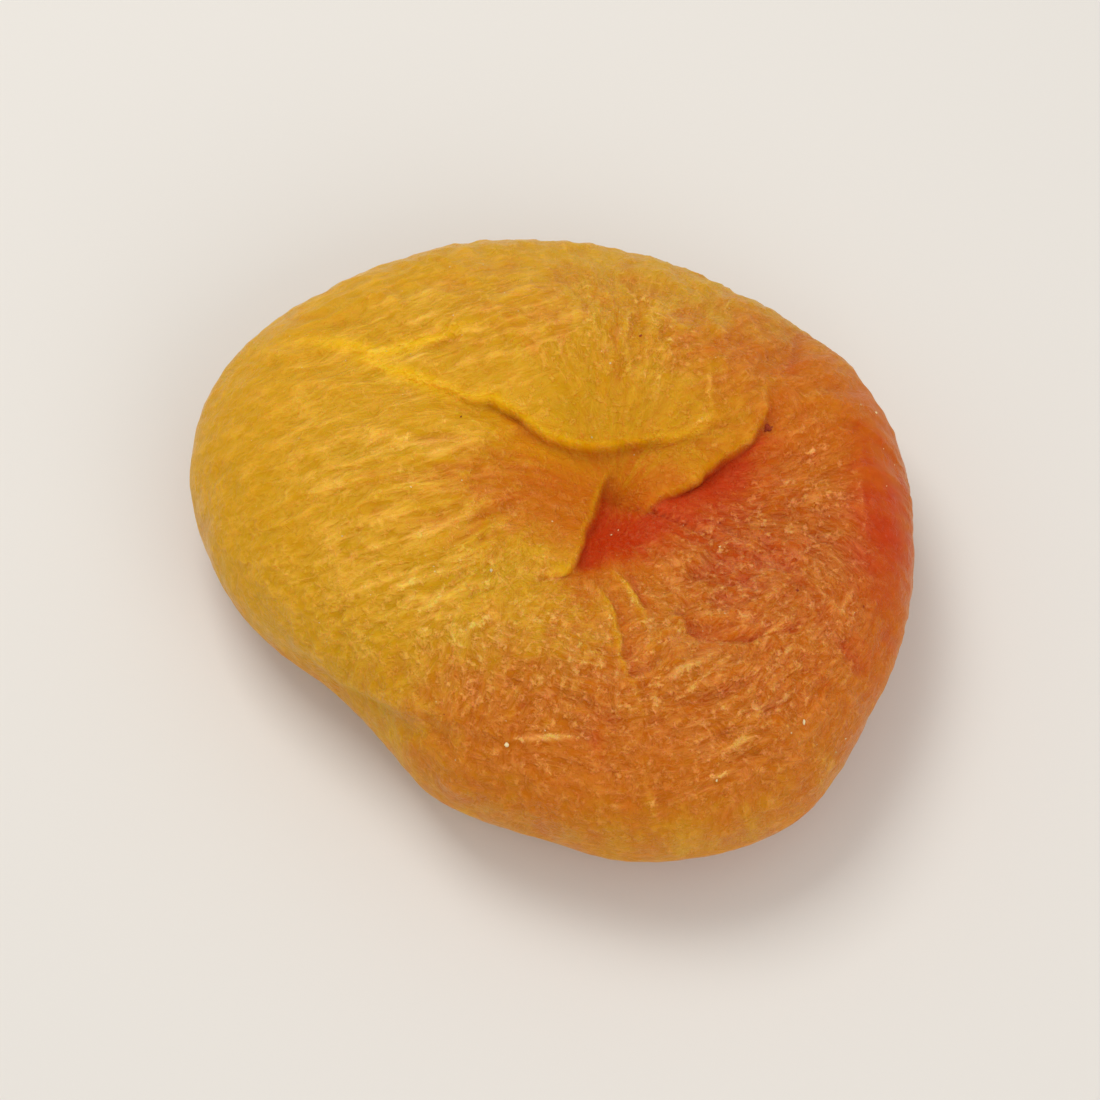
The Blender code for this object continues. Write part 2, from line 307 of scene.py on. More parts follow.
# The height of the noise that a wrinkle spans from crest to trough
WRINKLE_NOISE = 0.6

# How much the long wrinkles fade over the rim, and the shares of the way out that they fade over
RIM_CALM = 0.7
RIM_START = 0.8
RIM_RUN = 0.15

# The smooth side wall: its height, its reach up and down, and the shares of the way out that it starts over
SIDE_HEIGHT = 4.5 * MM
SIDE_REACH = 3.0 * MM
SIDE_START = 0.9
SIDE_RUN = 0.08

# How much the fine wrinkles fade on the side wall, and their height without bloom and what bloom adds
SIDE_CALM = 0.6
FINE_LEAST = 0.7
FINE_BY_BLOOM = 1.3

# The fine relief that counts as a full crest, and how many times that it may be
CREST_HEIGHT = 0.15 * MM
CREST_LIMIT = 1.5

# The skin's finest marks, in millimetres: how wide and long they are, and how far from the hole that is true
MARK_WIDTH = 0.32
MARK_LENGTH = 0.75
MARK_RING = 5.0
MARK_NEAREST = 2.0

# The noise above which the marks run round the fruit, where the wrinkles run out and where they run round
CROSS_SHARES = (0.60, 0.43)

# The marks across the left lobe and the upper lobe's far end: their width, length and slant
LEVEL_WIDTH = 0.45
LEVEL_LENGTH = 1.7
LEVEL_TURN = math.radians(20.0)

# How the fine wrinkles stray from straight: over what length, how far, two seeds, and the least distance
# from the hole that counts
STRAY_LENGTH = 5.0 * MM
STRAY = 1.6 * MM
STRAY_AROUND_SEED = 51.7
STRAY_DOWN_SEED = 60.7
STRAY_NEAREST = 4.0 * MM

# Where the flesh is redder, on the upper face and underneath
UPPER_BLUSH = (
    Swell(13.0, -8.0, 8.0, 10.0, 0, 0.50),
    Swell(10.2, -3.0, 7.0, 4.4, 32, 0.42),
    Swell(20.0, 1.0, 4.0, 11.0, 0, 0.60),
    Swell(1.0, -16.0, 12.0, 5.5, 0, 0.50),
    Swell(2.0, -0.5, 4.0, 4.0, 0, 0.25),
    Swell(5.0, -1.6, 3.4, 1.8, 35, 0.50),
    Swell(-3.2, -0.2, 5.5, 3.4, 10, 0.34),
    Swell(13.0, 9.0, 6.0, 5.0, 0, 0.34),
    Swell(-3.0, -11.0, 8.0, 5.0, 0, 0.12),
    Swell(3.0, 12.0, 12.0, 5.0, 0, 0.20),
    Swell(17.0, -8.0, 3.5, 9.0, -25, 0.10),
)
UNDER_BLUSH = (
    Swell(9.0, -4.0, 12.0, 14.0, 0, 0.45),
    Swell(-6.0, 6.0, 12.0, 8.0, 30, 0.25),
)
UNDER_WARMTH = 0.2

# Where the flesh is thin and yellow beside the folds; the last patch, under the upper lobe's lip, is a
# painted glow that lightens the shade there
UPPER_THIN_AND_GLOW = (
    Swell(-12.7, 10.1, 2.6, 0.40, -16, 0.60),
    Swell(-8.0, 9.8, 2.8, 0.35, 12, 0.80),
    Swell(-8.4, 7.4, 3.4, 0.50, -28, 0.80),
    Swell(-0.4, 3.1, 3.2, 0.9, -10, 0.22),
)

# Where the skin is dry, crumpled and frosted, with painted glints on its marks
UPPER_BLOOM = (
    Swell(10.5, -11.5, 8.5, 5.5, 0, 0.75),
    Swell(12.5, -3.5, 5.0, 4.0, 30, 0.90),
    Swell(9.8, -4.6, 3.2, 2.4, 20, 0.55),
    Swell(-1.0, -11.5, 8.0, 5.0, -10, 0.55),
    Swell(-9.0, 1.5, 8.0, 6.0, 5, 0.40),
    Swell(-8.0, -6.0, 7.0, 3.5, 5, 0.40),
    Swell(6.0, 10.5, 8.0, 4.0, -8, 0.35),
    Swell(-7.0, 11.0, 7.0, 4.0, 10, 0.30),
    Swell(15.0, -0.5, 2.6, 4.5, 0, 0.55),
    Swell(19.4, 1.0, 2.0, 9.0, 4, -0.40),
    Swell(16.6, -11.8, 5.0, 1.8, 59, -0.35),
)
UNDER_BLOOM = 0.3

# How much of the bloom is lost where a fold's floor is red
RED_BARENESS = 0.8

# The clearest short ridges and furrows of the dry skin. by is a height, below 0 for a furrow
RIDGES = (
    Swell(-0.5, -15.4, 2.0, 0.20, -2, 0.16),
    Swell(-3.4, -15.9, 0.5, 0.20, 19, 0.10),
    Swell(-0.7, -16.8, 0.9, 0.20, -48, 0.08),
    Swell(10.0, -15.7, 1.4, 0.20, 28, 0.13),
    Swell(9.2, -17.3, 0.9, 0.20, 21, 0.12),
    Swell(5.2, -18.4, 1.0, 0.24, -65, 0.07),
    Swell(7.1, -11.8, 1.6, 0.24, 28, 0.14),
    Swell(7.9, -12.6, 1.6, 0.20, 40, 0.10),
    Swell(5.6, -13.7, 0.8, 0.20, -88, 0.12),
    Swell(17.9, 0.3, 2.2, 0.20, -86, 0.08),
    Swell(9.0, 7.0, 1.2, 0.18, 90, 0.11),
    Swell(12.5, -8.9, 0.9, 0.20, 38, 0.12),
    Swell(16.7, -6.6, 1.5, 0.20, 64, 0.11),
    Swell(12.6, -1.2, 1.2, 0.20, 7, 0.10),
    Swell(10.1, -3.0, 0.9, 0.28, 51, 0.07),
    Swell(8.9, -6.3, 0.7, 0.30, -42, 0.06),
    Swell(15.6, 3.5, 0.7, 0.20, 16, 0.08),
    Swell(2.0, 12.0, 2.8, 0.20, -82, 0.06),
    Swell(8.5, 4.9, 1.3, 0.20, 25, 0.08),
    Swell(-10.7, 3.0, 0.8, 0.28, 18, 0.09),
    Swell(-8.9, 2.7, 1.0, 0.34, 28, 0.10),
    Swell(-6.6, 4.0, 0.7, 0.28, 31, 0.08),
    Swell(-12.7, 0.5, 1.4, 0.20, 0, 0.07),
    Swell(-10.5, -6.2, 1.0, 0.20, 5, 0.09),
    Swell(-8.6, -6.3, 1.2, 0.30, 22, 0.13),
    Swell(-7.3, -7.7, 1.0, 0.20, 20, 0.10),
    Swell(-4.7, -9.1, 1.4, 0.28, 30, 0.11),
    Swell(-15.6, -4.6, 0.9, 0.20, 28, 0.07),
    Swell(-9.5, 13.5, 0.8, 0.20, 40, 0.07),
    Swell(2.8, -8.4, 1.3, 0.20, 104, 0.08),
    Swell(4.3, -6.7, 1.2, 0.18, 114, 0.08),
    Swell(2.3, -12.1, 1.2, 0.20, 90, 0.09),
    Swell(1.0, -11.8, 0.7, 0.20, 104, 0.09),
    Swell(11.5, -12.0, 0.7, 0.20, -30, 0.09),
    Swell(11.0, -14.2, 0.7, 0.20, 35, 0.10),
    Swell(-9.5, -3.4, 1.8, 0.30, -4, -0.08),
    Swell(-6.4, -3.1, 1.4, 0.34, 13, -0.12),
    Swell(-4.0, -1.8, 1.5, 0.34, 29, -0.10),
    Swell(-12.9, 9.6, 2.2, 0.26, -16, -0.12),
    Swell(-9.8, 8.7, 0.9, 0.24, 38, -0.14),
    Swell(-8.2, 9.5, 1.0, 0.24, 12, -0.14),
    Swell(-6.2, 9.7, 1.2, 0.24, 4, -0.12),
    Swell(-15.5, -2.4, 1.7, 0.30, -15, -0.07),
    Swell(8.2, 8.8, 0.6, 0.30, -11, -0.10),
    Swell(3.2, -17.4, 0.6, 0.18, -50, -0.16),
    Swell(7.4, -10.4, 0.9, 0.20, 35, -0.10),
)

# The height of a ridge that is frosted, with a painted glint, in full
FULL_RIDGE = 0.12

# Where the wrinkles run round the fruit, and not out from the hole
UPPER_CROSS = (
    Swell(7.5, -12.5, 13.0, 6.0, 12, 1.3),
)

# Where the finest marks run slantwise across it
UPPER_LEVEL = (
    Swell(-12.0, 2.0, 10.0, 12.0, 0, 1.4),
    Swell(-6.0, 12.0, 8.0, 5.0, 0, 0.9),
)

# Specks dried onto the skin: how many, their smallest and largest radius, and the seed of their places.
# The pale ones stand partly for painted glints
FLECKS = (9, 0.04 * MM, 0.10 * MM)
FLECK_SEED = 5
GRAINS_AND_GLINTS = (130, 0.02 * MM, 0.06 * MM)
GRAIN_SEED = 8

# A speck's length, width and height, as shares of its radius, and how ragged it is
SPECK_LONG = (0.8, 1.5)
SPECK_WIDE = (0.6, 1.0)
SPECK_TALL = 0.6
SPECK_RAGGED = 0.15

# The one dark scab beside the second lip, in lumps that are spread and sized by shares of its radius
SCAB = (12.6, 4.7, 0.30)
SCAB_LUMPS = 7
SCAB_SPREAD = 0.6
SCAB_LUMP_SIZES = (0.3, 0.6)

# The brightest specks of sugar, which stand partly for painted glints, with their radius
GLINT_CRYSTALS = (
    (-2.4, -14.9, 0.16),
    (14.1, -13.6, 0.14),
    (-3.3, -5.1, 0.11),
    (9.2, -16.9, 0.10),
    (-11.7, -3.0, 0.07),
    (19.0, 6.6, 0.10),
)

# The plain settings of the skin: light goes into the flesh, the red of it furthest, and the gloss is dull
SKIN_FINISH = {
    "Subsurface Weight": 0.75,
    "Subsurface Radius": (1.0, 0.40, 0.08),
    "Subsurface Scale": 1.5 * MM,
    "Specular IOR Level": 0.28,
    "Specular Tint": (1.0, 0.62, 0.25, 1.0),
    "Sheen Weight": 0.08,
    "Sheen Roughness": 0.3,
    "Sheen Tint": (1.0, 0.70, 0.15, 1.0),
}
SKIN_ROUGHNESS = (0.30, 0.50)

# How the flesh warms and cools with streaks along the wrinkles and with small mottles, and the painted shade
# that makes it warmer and darker in the furrows and paler on the crests
STREAK_STRETCH = (9.0, 9.0, 0.25)
STREAK_WARMTH = 0.5
MOTTLE_WARMTH = 0.25
CREST_SHADE = -0.08

# The warmth that the flesh turns over, from honey to amber and from amber to blush, and the share of the
# lips' yellow with its painted highlight and painted glow
AMBER_SPAN = (0.0, 0.5)
BLUSH_SPAN = (0.45, 1.0)
LIP_COLOUR = 0.9

# The span of each noise of the dry skin that its dashes, crumbs and patches rise over
DASH_SPAN = (0.47, 0.71)
CRUMB_SPAN = (0.50, 0.68)
PATCH_SPAN = (0.38, 0.62)

# How strong the marks are where they run out from the hole and where they run slantwise, and the net's share
LEVEL_SPAN = (0.2, 1.0)
CRUMB_SHARES = (0.85, 0.35)
DASH_SHARES = (0.45, 0.65)
NET_SHARE = 0.30
NET = {"Scale": 0.6, "Sharpness": 9.0}

# How dry the skin is without bloom, how patchy the bloom is, and what is left of it in a hollow
DRY_LEAST = 0.26
BLOOM_EVEN = 0.65
BLOOM_PATCHY = 0.5
HOLLOW_SPAN = (0.3, 1.0)
HOLLOW_DRY = 0.5

# The frost and painted glints that the marks and the clearest ridges add, and the painted shade between
# the marks
FROST_GLINT_SPAN = (0.0, 0.9)
FROST_GLINT_MOST = 0.75
RIDGE_SPAN = (0.1, 1.0)
RIDGE_FROST_AND_GLINT = 0.9
RIDGE_EVEN = 0.55
SHADE_SPAN = (0.0, 0.6)
SHADE = 0.93

# The height of the marks' relief, and what is left of it on moist skin
RELIEF = 0.28 * MM
RELIEF_LEAST = 0.08

# A speck's plain setting, and its darkest colour as a share of its palest
SPECK_GLOSS = 0.15
SPECK_DARK = 0.6
FLECK_ROUGHNESS = 0.5
GRAIN_ROUGHNESS = 0.3

# The stage, in metres, and the camera's sensor in millimetres
KEY_LIGHT = Lamp((-0.08, 0.11, 0.27), 0.14, (1.0, 0.98, 0.94))
FILL_LIGHT = Lamp((0.14, -0.22, 0.18), 0.25, (1.0, 0.98, 0.95))
SKY_COLOUR = (1.0, 0.97, 0.93, 1.0)
FLOOR_COLOUR = (0.78, 0.76, 0.73, 1.0)
FLOOR_ROUGHNESS = 0.8
FLOOR_SIZE = 1.5
SENSOR_WIDTH = 36.0
CLIP_START = 0.01


class ApricotForm(bpy.types.PropertyGroup):
    """Sizes of the fruit."""

    width: bpy.props.FloatProperty(
        name="Width", description="Across the fruit, left to right",
        default=HIGHEST.x - LOWEST.x, unit="LENGTH",
    )
    depth: bpy.props.FloatProperty(
        name="Depth", description="From the lower lobe to the upper lobe",
        default=HIGHEST.y - LOWEST.y, unit="LENGTH",
    )
    thickness: bpy.props.FloatProperty(
        name="Thickness", description="From the surface it lies on to its highest lobe",
        default=HIGHEST.z - LOWEST.z, unit="LENGTH",
    )
    rim_height: bpy.props.FloatProperty(
        name="Rim height", description="Height of the widest line", default=6.0 * MM, unit="LENGTH",
    )
    rest_depth: bpy.props.FloatProperty(
        name="Rest depth", description="How far the lowest skin is pressed flat",
        default=0.35 * MM, unit="LENGTH",
    )
    fullness: bpy.props.FloatProperty(
        name="Fullness", description="2 is an oval section, and more is squarer", default=2.5,
    )
    face_quads: bpy.props.IntProperty(
        name="Face quads", description="Quads along each side of a face", default=158,
    )
    rim_quads: bpy.props.IntProperty(name="Rim quads", description="Quads down the rim", default=60)
    face_share: bpy.props.FloatProperty(
        name="Face share", description="How far out the faces reach before the rim starts", default=0.88,
    )


class ApricotColours(bpy.types.PropertyGroup):
    """Colours and finish of the skin."""

    honey: bpy.props.FloatVectorProperty(
        name="Honey", description="Palest flesh, on the left and upper lobes",
        subtype="COLOR", size=3, default=(0.68, 0.345, 0.005),
    )
    amber: bpy.props.FloatVectorProperty(
        name="Amber", description="Flesh halfway to the blush", subtype="COLOR", size=3,
        default=(0.61, 0.155, 0.003),
    )
    blush: bpy.props.FloatVectorProperty(
        name="Blush", description="Reddest flesh, in the hollow", subtype="COLOR", size=3,
        default=(0.55, 0.036, 0.003),
    )
    # Thin yellow flesh along the lips, which also paints their highlight and the glow through them
    lip: bpy.props.FloatVectorProperty(
        name="Lip", description="Thin flesh along the lips", subtype="COLOR", size=3,
        default=(1.0, 0.60, 0.004),
    )
    # Dry bloom and painted glints on the crests, in one colour
    bloom_and_glint: bpy.props.FloatVectorProperty(
        name="Bloom", description="What the dry crests of the finest wrinkles add", subtype="COLOR", size=3,
        default=(0.46, 0.34, 0.13),
    )
    fleck: bpy.props.FloatVectorProperty(
        name="Fleck", description="Dark flecks in the skin", subtype="COLOR", size=3,
        default=(0.36, 0.050, 0.015),
    )
    # Dried sugar, which also stands for painted glints
    grain_and_glint: bpy.props.FloatVectorProperty(
        name="Grain", description="Dried sugar on the skin", subtype="COLOR", size=3,
        default=(0.95, 0.80, 0.45),
    )


class ApricotStage(bpy.types.PropertyGroup):
    """Camera, lights and floor."""

    elevation: bpy.props.FloatProperty(
        name="Elevation", description="How steeply the camera looks down",
        subtype="ANGLE", default=math.radians(64.0),
    )
    frame_width: bpy.props.FloatProperty(
        name="Frame width", description="Width of the picture at the fruit",
        default=64.0 * MM, unit="LENGTH",
    )
    lens: bpy.props.FloatProperty(name="Lens", description="Focal length in millimetres", default=120.0)
    aim_height: bpy.props.FloatProperty(
        name="Aim height", description="Height of the point in the middle of the picture",
        default=6.5 * MM, unit="LENGTH",
    )
    aim_drop: bpy.props.FloatProperty(
        name="Aim drop", description="How far below that point the picture is centred",
        default=0.8 * MM, unit="LENGTH",
    )
    key_power: bpy.props.FloatProperty(
        name="Key light", description="Power of the window-like light", default=0.37, unit="POWER",
    )
    fill_power: bpy.props.FloatProperty(
        name="Fill light", description="Power of the light from the front", default=0.26, unit="POWER",
    )
    sky_strength: bpy.props.FloatProperty(
        name="Sky", description="Strength of the light all round", default=0.59,
    )


def smooth_step(x):
    """0 below 0, 1 above 1, and a smooth rise between."""
    x = np.clip(x, 0.0, 1.0)
    return x * x * (3.0 - 2.0 * x)


def noise_at(points, spacing, seed):
    """Noise from -1 to 1 at each point. spacing is the size of its bumps."""
    shift = Vector((seed, -seed, 0.5 * seed))
    return np.array([noise.noise(Vector(p) + shift) for p in points / spacing])


def box_mesh(face_quads, rim_quads):
    """A bmesh box whose upper and lower faces have more quads than its sides have rows."""
    box = bmesh.new()
    bmesh.ops.create_cube(box, size=2.0)
    upright = [e for e in box.edges if abs(e.verts[0].co.z - e.verts[1].co.z) > FLAT]
    bmesh.ops.subdivide_edges(box, edges=upright, cuts=rim_quads - 1, use_grid_fill=True)
    level = [e for e in box.edges if abs(e.verts[0].co.z - e.verts[1].co.z) < FLAT]
    bmesh.ops.subdivide_edges(box, edges=level, cuts=face_quads - 1, use_grid_fill=True)
    return box


def coordinates(mesh):
    """The bmesh's vertices as an array."""
    return np.array([v.co for v in mesh.verts])


def place(mesh, points):
    """Moves the bmesh's vertices to the points, and works out their normals again."""
    for vert, point in zip(mesh.verts, points):
        vert.co = point
    mesh.normal_update()
    return np.array([v.normal for v in mesh.verts])


def outline(azimuth):
    """The outline's radius at each azimuth, as a share of the half width."""
    degrees = np.degrees(azimuth)
    radius = np.ones_like(degrees)
    for bulge in OUTLINE:
        away = (degrees - bulge.at + 180.0) % 360.0 - 180.0
        radius += bulge.by * np.exp(-((away / bulge.spread) ** 2))
    return radius


def pillow(box, form):
    """Points of the smooth pillow for the box's points, and how far out each is, from 0 to 1 at the rim."""
    x, y, z = box.T
    disc_x, disc_y = x * np.sqrt(1.0 - 0.5 * y * y), y * np.sqrt(1.0 - 0.5 * x * x)
    azimuth = np.arctan2(disc_y, disc_x)
    on_face = np.arcsin((form.face_share * np.hypot(disc_x, disc_y)) ** (0.5 * form.fullness))
    rim_start = np.arcsin(form.face_share ** (0.5 * form.fullness))
    on_rim = rim_start + (0.5 * np.pi - rim_start) * (1.0 - np.abs(z))
    from_top = np.where(np.abs(z) > 1.0 - FLAT, on_face, on_rim)
    out = np.sin(from_top) ** (2.0 / form.fullness)
    rise = np.cos(from_top) ** (2.0 / form.fullness)
    radius = 0.5 * form.width * outline(azimuth) * out
    height = form.rim_height + rise * np.where(z > 0.0, form.thickness - form.rim_height, -form.rim_height)
    return np.stack([radius * np.cos(azimuth), radius * np.sin(azimuth), height], axis=1), out


def on_skin(plan, underneath, form):
    """Lifts plan points in millimetres to the pillow's upper face, or lowers them to its underside."""
    x, y = np.array(plan).T * MM
    azimuth = np.arctan2(y, x)
    out = np.minimum(np.hypot(x, y) / (0.5 * form.width * outline(azimuth)), OUTERMOST)
    tall = -form.rim_height if underneath else form.thickness - form.rim_height
    height = form.rim_height + tall * (1.0 - out**form.fullness) ** (1.0 / form.fullness)
    return np.stack([x, y, height], axis=1)


def smooth_path(points, per_span=8):
    """A smooth curve through the points, as more points."""
    ends = np.vstack([2 * points[0] - points[1], points, 2 * points[-1] - points[-2]])
    t = np.linspace(0.0, 1.0, per_span, endpoint=False)[:, None]
    spans = []
    for a, b, c, d in zip(ends, ends[1:], ends[2:], ends[3:]):
        bend = (2 * a - 5 * b + 4 * c - d) * t**2 + (3 * b - a - 3 * c + d) * t**3
        spans.append(0.5 * (2 * b + (c - a) * t + bend))
    return np.vstack([*spans, points[-1:]])


class Beside(NamedTuple):
    """How each point lies to a path: how far to its left, how far in all, its share of the way, and left."""

    side: np.ndarray
    distance: np.ndarray
    share: np.ndarray
    left: np.ndarray


def beside(points, normals, path):
    """Finds how each point lies to the path."""
    steps = np.diff(path, axis=0)
    lengths = np.linalg.norm(steps, axis=1)
    run = np.concatenate([[0.0], np.cumsum(lengths)])
    bends = np.gradient(path, axis=0)
    nearest = np.full(len(points), np.inf)
    share = np.zeros(len(points))
    offset = np.zeros_like(points)
    tangent = np.zeros_like(points)
    for i, (start, step, length) in enumerate(zip(path, steps, lengths)):
        t = np.clip((points - start) @ step / length**2, 0.0, 1.0)
        away = points - start - t[:, None] * step
        distance = np.linalg.norm(away, axis=1)
        closer = distance < nearest
        nearest[closer] = distance[closer]
        share[closer] = (run[i] + t[closer] * length) / run[-1]
        offset[closer] = away[closer]
        tangent[closer] = bends[i] + t[closer, None] * (bends[i + 1] - bends[i])
    left = np.cross(normals, tangent)
    left /= np.linalg.norm(left, axis=1)[:, None] + TINY
    return Beside(np.sum(offset * left, axis=1), nearest, share, left)


def open_share(fold, share):
    """How open the fold is along its path, from 0 at its ends to 1."""
    return smooth_step(share / fold.fade_in) * smooth_step((1.0 - share) / fold.fade_out)


def gather(points, normals, fold, form):
    """Draws the mesh in along the surface towards the fold."""
    at = beside(points, normals, smooth_path(on_skin(fold.path, fold.underneath, form)))
    pull = GATHER * np.exp(-((at.distance / GATHER_REACH) ** 2)) * np.sqrt(open_share(fold, at.share))
    return points - at.left * (at.side * pull)[:, None]


class Creased(NamedTuple):
    """What a fold does at each point: its move, how near the lip it is, for the lip's yellow with its
    painted highlight and painted glow, and how deep in the hollow and red it is.
    """

    moves: np.ndarray
    lip: np.ndarray
    hollow: np.ndarray
    red: np.ndarray


def crease(points, normals, fold, form, waver):
    """Presses the skin down beside the fold's lip, and rolls the lip out over the drop."""
    at = beside(points, normals, smooth_path(on_skin(fold.path, fold.underneath, form)))
    edge = fold.edge * MM
    opened = open_share(fold, at.share)
    on_lip = 1.0 / (1.0 + np.exp(-(at.side + waver) / (0.5 * edge)))
    soft = np.sqrt(at.distance**2 + edge**2) - edge
    lip = np.exp(-((soft / (fold.lip_reach * MM)) ** 2))
    floor = np.exp(-soft / (fold.floor_reach * MM))
    drop = fold.depth * MM * opened * (on_lip * fold.droop * lip + (1.0 - on_lip) * floor)
    reach = fold.roll * MM * opened * on_lip * lip
    bead = np.exp(-(((at.side + waver - LIP_BEAD_WIDTH) / LIP_BEAD_WIDTH) ** 2))
    near_bead = bead * np.exp(-((soft / LIP_BEAD_REACH) ** 2))
    # Painted highlight on the bead and painted glow behind the lip, both in yellow
    thin = BEAD_HIGHLIGHT * near_bead + LIP_GLOW * np.exp(-((soft / LIP_GLOW_REACH) ** 2)) * on_lip
    rise = LIP_BEAD * fold.thin * opened * near_bead - drop
    return Creased(
        moves=normals * rise[:, None] - at.left * reach[:, None],
        lip=fold.thin * opened * thin,
        hollow=min(fold.depth, FULL_HOLLOW) * opened * (1.0 - on_lip) * floor,
        red=fold.red * opened * (1.0 - on_lip) * floor**2,
    )


def patches(points, swells):
    """The sum of the swells at each point, seen from above."""
    total = np.zeros(len(points))
    for swell in swells:
        turn = np.radians(swell.turn)
        x, y = points[:, 0] - swell.x * MM, points[:, 1] - swell.y * MM
        along = (x * np.cos(turn) + y * np.sin(turn)) / (swell.long * MM)
        across = (y * np.cos(turn) - x * np.sin(turn)) / (swell.wide * MM)
        total += swell.by * np.exp(-(along**2) - across**2)
    return total


def skin_map(points, out, under, form):
    """Where each point lies on the skin as it runs from the hole over the rim to the underside."""
    x, y = points[:, 0] - HOLE[0], points[:, 1] - HOLE[1]
    around = np.arctan2(y, x)
    down = np.hypot(x, y) + form.thickness - points[:, 2] + under * (1.0 - out) * form.width
    return around, down


def wrinkle_height(around, down, wrinkles):
    """Rounded ridges that run out from the hole, of about the same spacing at any distance."""
    height = np.zeros(len(around))
    for doubling in WRINKLE_RINGS:
        near = np.abs(np.log2(np.maximum(down, WRINKLE_NEAREST) / (WRINKLE_RADIUS * doubling)))
        share = np.clip(1.0 - near, 0.0, 1.0)
        ring = WRINKLE_RADIUS * doubling / (wrinkles.around * MM)
        turning = [ring * np.cos(around), ring * np.sin(around), down / (wrinkles.along * MM)]
        wave = noise_at(np.stack(turning, axis=1), 1.0, wrinkles.seed + doubling)
        ridge = 1.0 - 2.0 * np.abs(wave) / WRINKLE_NOISE
        height += share * ridge
    return wrinkles.height * MM * height


def all_wrinkles(around, down, kinds):
    """The height of several kinds of wrinkles together."""
    return sum(wrinkle_height(around, down, wrinkles) for wrinkles in kinds)


def all_dents(points, dents):
    """The height of several sizes of dents together."""
    return sum(deep * noise_at(points, spacing, seed) for spacing, deep, seed in dents)


def press_folds(points, normals, form):
    """Moves the points by every fold, and returns how near a lip each one is, for the lip's yellow with its
    painted highlight and painted glow, and how deep and how red each one is.
    """
    broad = WAVER * noise_at(points, WAVER_LENGTH, WAVER_SEED)
    waver = broad + FINE_WAVER * noise_at(points, FINE_WAVER_LENGTH, FINE_WAVER_SEED)
    moved = points.copy()
    lips, hollows, reds = np.zeros((3, len(points)))
    for fold in FOLDS:
        creased = crease(points, normals, fold, form, waver)
        moved += creased.moves
        lips = np.maximum(lips, creased.lip)
        hollows = np.maximum(hollows, creased.hollow)
        reds = np.maximum(reds, creased.red)
    return moved, lips, hollows, reds


def fine_relief(points, strayed, further, cross):
    """The height of the finest wrinkles and dents. The wrinkles run round the fruit where cross is high."""
    fine = (1.0 - cross) * all_wrinkles(strayed, further, FINE_WRINKLES)
    fine += cross * all_wrinkles(strayed, further, CROSS_WRINKLES)
    fine += all_dents(points, FINE_DENTS)
    return fine


def sculpt(mesh, form):
    """Moves the box's vertices to the fruit's skin, and returns what the material needs to know at each."""
    points, out = pillow(coordinates(mesh), form)
    normals = place(mesh, points)
    under = smooth_step(0.5 - normals[:, 2])
    for fold in FOLDS:
        points = gather(points, normals, fold, form)
    normals = place(mesh, points)
    upper, lower = smooth_step(0.5 + normals[:, 2]), smooth_step(0.5 - normals[:, 2])
    moved, lips, hollows, reds = press_folds(points, normals, form)
    lift = upper * patches(points, UPPER_SWELLS) + lower * patches(points, UNDER_SWELLS)
    moved += normals * (lift * MM)[:, None]
    normals = place(mesh, moved)

    around, down = skin_map(points, out, under, form)
    calm = 1.0 - RIM_CALM * smooth_step((out - RIM_START) / RIM_RUN)
    height = calm * all_wrinkles(around, down, WRINKLES)
    height += all_dents(points, DENTS)

    sideways = STRAY * noise_at(points, STRAY_LENGTH, STRAY_AROUND_SEED)
    strayed = around + sideways / np.maximum(down, STRAY_NEAREST)
    further = down + STRAY * noise_at(points, STRAY_LENGTH, STRAY_DOWN_SEED)
    cross = np.clip(upper * patches(points, UPPER_CROSS), 0.0, 1.0)
    side = np.exp(-(((points[:, 2] - SIDE_HEIGHT) / SIDE_REACH) ** 2))
    side *= smooth_step((out - SIDE_START) / SIDE_RUN)
    bare = RED_BARENESS * np.minimum(reds, 1.0)
    bloom_and_glint = upper * patches(points, UPPER_BLOOM) * (1.0 - bare) + UNDER_BLOOM * lower
    bloom_and_glint = np.minimum(bloom_and_glint, 1.0) * (1.0 - side) * smooth_step(down / HOLE_REACH)
    fine = fine_relief(points, strayed, further, cross)
    fine *= (1.0 - SIDE_CALM * side) * (FINE_LEAST + FINE_BY_BLOOM * bloom_and_glint) * smooth_step(down / HOLE_REACH)
    ridges = upper * patches(points, RIDGES)
    fine += MM * ridges

    warm_under = lower * (UNDER_WARMTH + patches(points, UNDER_BLUSH))
    facts = {
        "blush": upper * patches(points, UPPER_BLUSH) + reds + warm_under,
        # Where the frost and painted glints go
        "bloom_and_glint": bloom_and_glint,
        "ridge": ridges / FULL_RIDGE,
        # The lips' yellow, with its painted highlight and painted glow
        "lip": np.maximum(lips, upper * patches(points, UPPER_THIN_AND_GLOW)),
        "hollow": hollows,
        "crest": np.clip(fine / CREST_HEIGHT, -CREST_LIMIT, CREST_LIMIT),
        "cross": cross,
        "level": upper * patches(points, UPPER_LEVEL) + lower,
        "flow": np.stack([np.cos(strayed), np.sin(strayed), further / MM], axis=1),
    }
    return moved + normals * (height + fine)[:, None], facts


def fit(points, form):
    """Brings the fruit to its real size over the origin, and presses its lowest skin flat."""
    low, high = points.min(axis=0), points.max(axis=0)
    size = np.array([form.width, form.depth, form.thickness + form.rest_depth])
    centred = (points - 0.5 * (low + high)) * size / (high - low)
    centred[:, 2] += 0.5 * form.thickness - 0.5 * form.rest_depth
    centred[:, 2] = np.maximum(centred[:, 2], 0.0)
    return centred


def new_piece(name, mesh, material):
    """An object in the scene from a bmesh, which is freed."""
    data = bpy.data.meshes.new(name)
    mesh.to_mesh(data)
    mesh.free()
    data.shade_smooth()
    data.materials.append(material)
    piece = bpy.data.objects.new(name, data)
    bpy.context.scene.collection.objects.link(piece)
    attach(piece, BODY)
    return piece


